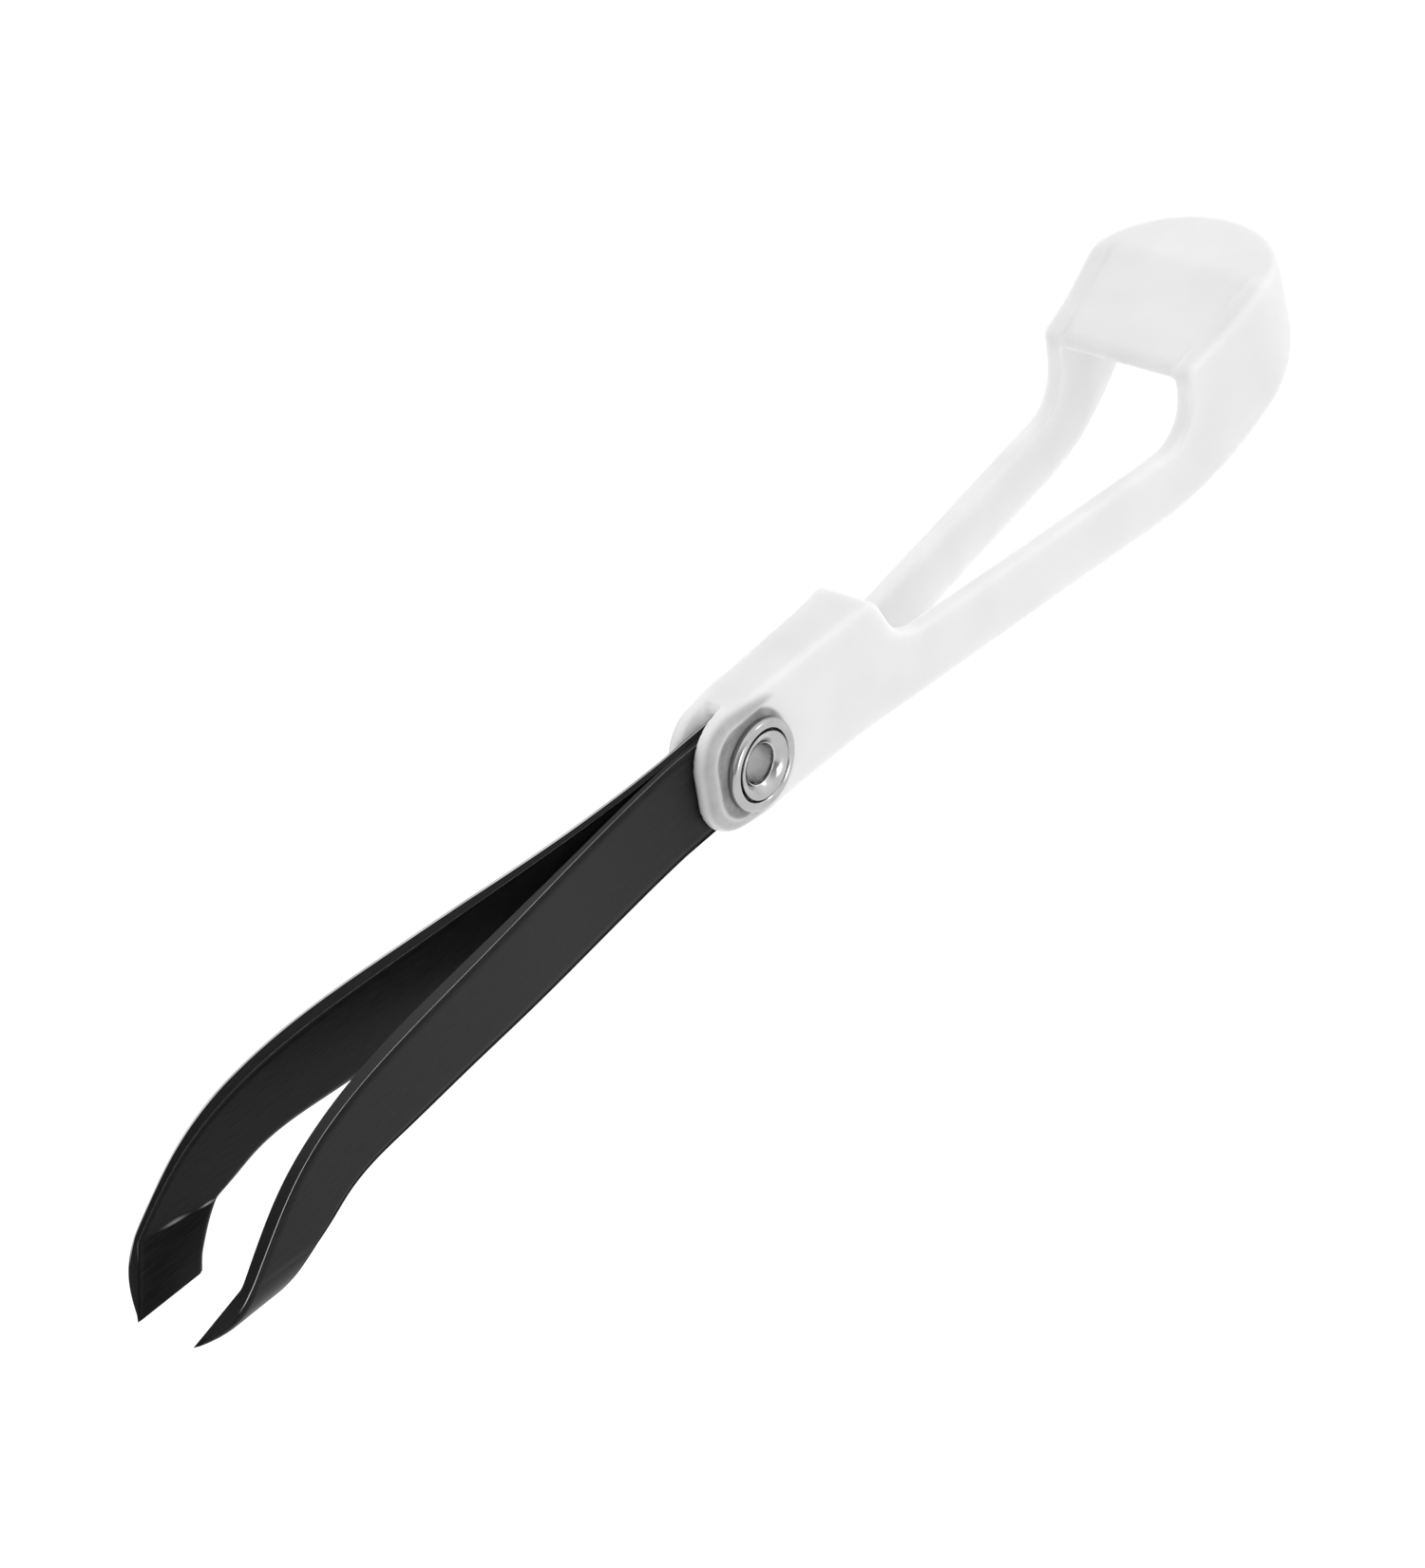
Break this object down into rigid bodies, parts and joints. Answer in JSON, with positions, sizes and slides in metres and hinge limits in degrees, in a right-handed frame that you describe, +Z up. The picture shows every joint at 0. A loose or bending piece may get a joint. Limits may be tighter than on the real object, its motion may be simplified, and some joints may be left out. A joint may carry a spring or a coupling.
{
  "type": "folding tweezers",
  "caption": "Pocket tweezers with slanted tips that fold on a hollow rivet into their own open-frame plastic case, which is also the handle.",
  "frame": {"origin": "on the rivet's axis, midway between the two ears of the clevis", "axes": "+X along the case to its head, +Y along the rivet to the far ear, +Z up; the open tweezers' tips point to -X"},
  "size_m": [0.0946, 0.0118, 0.0122],
  "materials": {
    "case_plastic": "frosted, slightly translucent",
    "rivet_metal": "bright nickel",
    "strip_steel": "satin black"
  },
  "bodies": {
    "case": {"handle_case": "case_plastic", "rivet_eyelet": "rivet_metal", "rivet_washer": "rivet_metal"},
    "strip_roots": {"far_strip_root": "strip_steel", "near_strip_root": "strip_steel"},
    "near_arm": {"near_arm": "strip_steel"},
    "far_arm": {"far_arm": "strip_steel"}
  },
  "joints": [
    {"name": "fold_hinge", "type": "hinge", "parent": "case", "child": "strip_roots", "pos_m": [0, 0, 0], "axis": [0, -1, 0], "range_deg": [0, 180]},
    {"name": "near_arm_flex", "type": "hinge", "parent": "strip_roots", "child": "near_arm", "pos_m": [-0.0055, -0.00025, 0], "axis": [0, 0, -1], "range_deg": [0, 2.5], "stiffness_Nm_per_rad": 0.5},
    {"name": "far_arm_flex", "type": "hinge", "parent": "strip_roots", "child": "far_arm", "pos_m": [-0.0055, 0.00025, 0], "axis": [0, 0, 1], "range_deg": [0, 2.5], "stiffness_Nm_per_rad": 0.5}
  ],
  "couplings": [
    {"joint": "far_arm_flex", "follows": "near_arm_flex", "ratio": 1}
  ]
}
